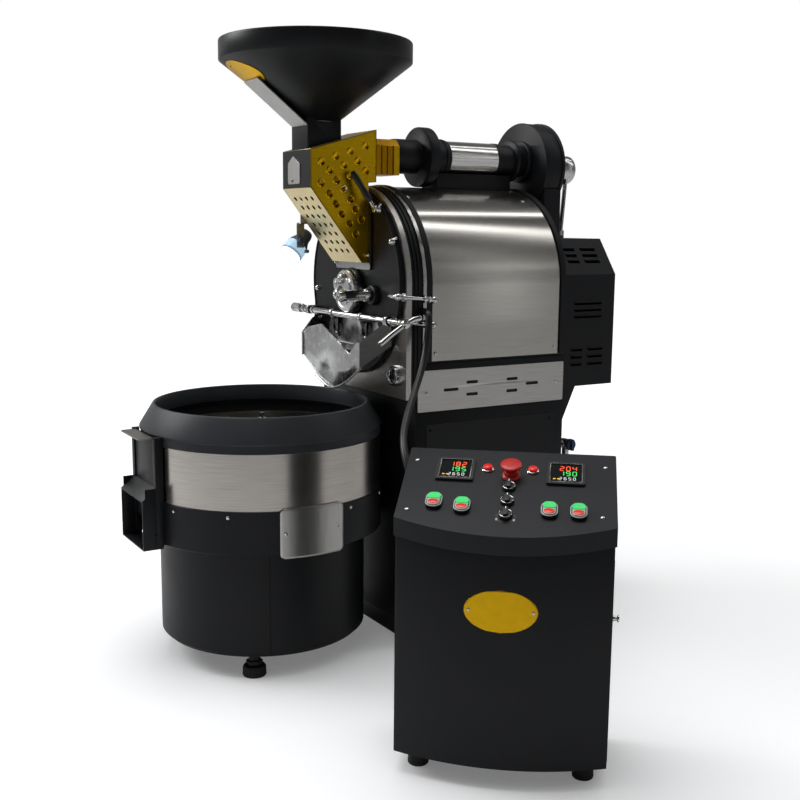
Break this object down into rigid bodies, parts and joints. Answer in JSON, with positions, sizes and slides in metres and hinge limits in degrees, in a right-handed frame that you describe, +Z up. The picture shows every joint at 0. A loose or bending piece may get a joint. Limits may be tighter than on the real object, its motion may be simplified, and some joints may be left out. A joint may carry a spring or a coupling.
{
  "type": "shop drum coffee roaster",
  "caption": "Floor-standing drum coffee roaster with hopper and perforated chute, arched casing, exhaust blower, round cooling bin with stirrer, and a separate sloped control cabinet.",
  "frame": {"origin": "on the floor, under the middle of the pedestal", "axes": "+X across the machine towards the control cabinet, +Y along the drum from front to back, +Z up"},
  "size_m": [1.2709, 1.2296, 1.422],
  "materials": {
    "black_paint": "satin black",
    "brushed_steel": "brushed",
    "gold_steel": "gold tinted, polished",
    "cast_aluminium": "cast and polished",
    "chrome": "polished",
    "raw_steel": "satin",
    "rubber": "matt",
    "black_plastic": "moulded",
    "red_plastic": "moulded",
    "green_plastic": "moulded",
    "blue_plastic": "moulded"
  },
  "bodies": {
    "frame": {"pedestal": "black_paint", "drum_casing": "black_paint", "round_front_plate": "black_paint", "drive_motor": "black_paint", "hopper": "black_paint", "damper_housing": "black_paint", "blower_inlet": "black_paint", "blower_housing": "black_paint", "rear_cover": "black_paint", "bin_base": "black_paint", "bin_lower_band": "black_paint", "bin_rim": "black_paint", "stirrer_motor": "black_paint", "outlet_duct": "black_paint", "cabinet_body": "black_paint", "console_panel": "black_paint", "casing_cover": "brushed_steel", "face_plate": "brushed_steel", "trim_plate": "brushed_steel", "exhaust_pipe": "brushed_steel", "bin_band": "brushed_steel", "feed_chute": "gold_steel", "exhaust_elbow": "gold_steel", "front_bearing": "cast_aluminium", "discharge_scoop": "cast_aluminium", "blower_motor": "cast_aluminium", "gas_valve": "chrome", "drive_chain": "raw_steel", "burner": "raw_steel", "lamp_bracket": "raw_steel", "bin_floor": "raw_steel", "bin_foot_ring": "rubber", "cabinet_feet": "rubber", "conduit": "black_plastic"},
    "drum": {"drum": "raw_steel", "drum_shaft": "raw_steel"},
    "drive_sprocket": {"drive_sprocket": "raw_steel"},
    "impeller": {"blower_impeller": "raw_steel"},
    "stirrer": {"stirrer": "raw_steel"},
    "discharge": {"discharge_door": "cast_aluminium", "door_rod": "chrome", "door_lever": "chrome"},
    "hopper_gate": {"hopper_gate": "raw_steel"},
    "bin_gate": {"bin_gate": "brushed_steel"},
    "trier": {"sample_trier": "chrome"},
    "lamp": {"lamp_head": "black_paint"},
    "damper_lever": {"damper_lever": "raw_steel"},
    "gas_knob": {"gas_valve_knob": "blue_plastic"},
    "stop_button": {"stop_button": "red_plastic"},
    "selector_1": {"selector_1": "black_plastic"},
    "selector_2": {"selector_2": "black_plastic"},
    "selector_3": {"selector_3": "black_plastic"},
    "start_cap_1": {"start_cap_1": "green_plastic"},
    "stop_cap_1": {"stop_cap_1": "red_plastic"},
    "start_cap_2": {"start_cap_2": "green_plastic"},
    "stop_cap_2": {"stop_cap_2": "red_plastic"},
    "start_cap_3": {"start_cap_3": "green_plastic"},
    "stop_cap_3": {"stop_cap_3": "red_plastic"},
    "start_cap_4": {"start_cap_4": "green_plastic"},
    "stop_cap_4": {"stop_cap_4": "red_plastic"}
  },
  "joints": [
    {"name": "drum_spin", "type": "hinge", "parent": "frame", "child": "drum", "pos_m": [0, 0, 0.848], "axis": [0, 1, 0], "continuous": true},
    {"name": "drive_spin", "type": "hinge", "parent": "frame", "child": "drive_sprocket", "pos_m": [0.1, 0, 0.6553], "axis": [0, 1, 0], "continuous": true},
    {"name": "fan_spin", "type": "hinge", "parent": "frame", "child": "impeller", "pos_m": [0, 0, 1.158], "axis": [0, 1, 0], "continuous": true},
    {"name": "stirrer_spin", "type": "hinge", "parent": "frame", "child": "stirrer", "pos_m": [0, -0.505, 0], "axis": [0, 0, 1], "continuous": true},
    {"name": "discharge_door_hinge", "type": "hinge", "parent": "frame", "child": "discharge", "pos_m": [0, -0.277, 0.789], "axis": [-1, 0, 0], "range_deg": [0, 28]},
    {"name": "hopper_gate_slide", "type": "slide", "parent": "frame", "child": "hopper_gate", "axis": [0, -0.7918, 0.6108], "range_m": [0, 0.08]},
    {"name": "bin_gate_slide", "type": "slide", "parent": "frame", "child": "bin_gate", "axis": [0, 0, 1], "range_m": [0, 0.1]},
    {"name": "trier_slide", "type": "slide", "parent": "frame", "child": "trier", "axis": [0, -1, 0], "range_m": [0, 0.12]},
    {"name": "lamp_tilt", "type": "hinge", "parent": "frame", "child": "lamp", "pos_m": [-0.12, -0.353, 0.968], "axis": [1, 0, 0], "range_deg": [-25, 25]},
    {"name": "damper_lever_turn", "type": "hinge", "parent": "frame", "child": "damper_lever", "pos_m": [0.11805, -0.26, 1.04409], "axis": [0, 1, 0], "range_deg": [0, 60]},
    {"name": "gas_knob_turn", "type": "hinge", "parent": "frame", "child": "gas_knob", "pos_m": [0.2, 0.2697, 0.449], "axis": [1, 0, 0], "range_deg": [0, 90]},
    {"name": "stop_button_press", "type": "slide", "parent": "frame", "child": "stop_button", "axis": [-0.2839, 0.2412, -0.928], "range_m": [0, 0.004], "stiffness_N_per_m": 600},
    {"name": "selector_1_turn", "type": "hinge", "parent": "frame", "child": "selector_1", "pos_m": [0.77435, -0.35303, 0.52854], "axis": [0.2839, -0.2412, 0.928], "range_deg": [-45, 45]},
    {"name": "selector_2_turn", "type": "hinge", "parent": "frame", "child": "selector_2", "pos_m": [0.80547, -0.37947, 0.51215], "axis": [0.2839, -0.2412, 0.928], "range_deg": [-45, 45]},
    {"name": "selector_3_turn", "type": "hinge", "parent": "frame", "child": "selector_3", "pos_m": [0.83515, -0.40469, 0.49651], "axis": [0.2839, -0.2412, 0.928], "range_deg": [-45, 45]},
    {"name": "start_cap_1_press", "type": "slide", "parent": "frame", "child": "start_cap_1", "axis": [-0.2839, 0.2412, -0.928], "range_m": [0, 0.003], "stiffness_N_per_m": 400},
    {"name": "stop_cap_1_press", "type": "slide", "parent": "frame", "child": "stop_cap_1", "axis": [-0.2839, 0.2412, -0.928], "range_m": [0, 0.003], "stiffness_N_per_m": 400},
    {"name": "start_cap_2_press", "type": "slide", "parent": "frame", "child": "start_cap_2", "axis": [-0.2839, 0.2412, -0.928], "range_m": [0, 0.003], "stiffness_N_per_m": 400},
    {"name": "stop_cap_2_press", "type": "slide", "parent": "frame", "child": "stop_cap_2", "axis": [-0.2839, 0.2412, -0.928], "range_m": [0, 0.003], "stiffness_N_per_m": 400},
    {"name": "start_cap_3_press", "type": "slide", "parent": "frame", "child": "start_cap_3", "axis": [-0.2839, 0.2412, -0.928], "range_m": [0, 0.003], "stiffness_N_per_m": 400},
    {"name": "stop_cap_3_press", "type": "slide", "parent": "frame", "child": "stop_cap_3", "axis": [-0.2839, 0.2412, -0.928], "range_m": [0, 0.003], "stiffness_N_per_m": 400},
    {"name": "start_cap_4_press", "type": "slide", "parent": "frame", "child": "start_cap_4", "axis": [-0.2839, 0.2412, -0.928], "range_m": [0, 0.003], "stiffness_N_per_m": 400},
    {"name": "stop_cap_4_press", "type": "slide", "parent": "frame", "child": "stop_cap_4", "axis": [-0.2839, 0.2412, -0.928], "range_m": [0, 0.003], "stiffness_N_per_m": 400}
  ],
  "couplings": [
    {"joint": "drive_spin", "follows": "drum_spin", "ratio": 2}
  ]
}
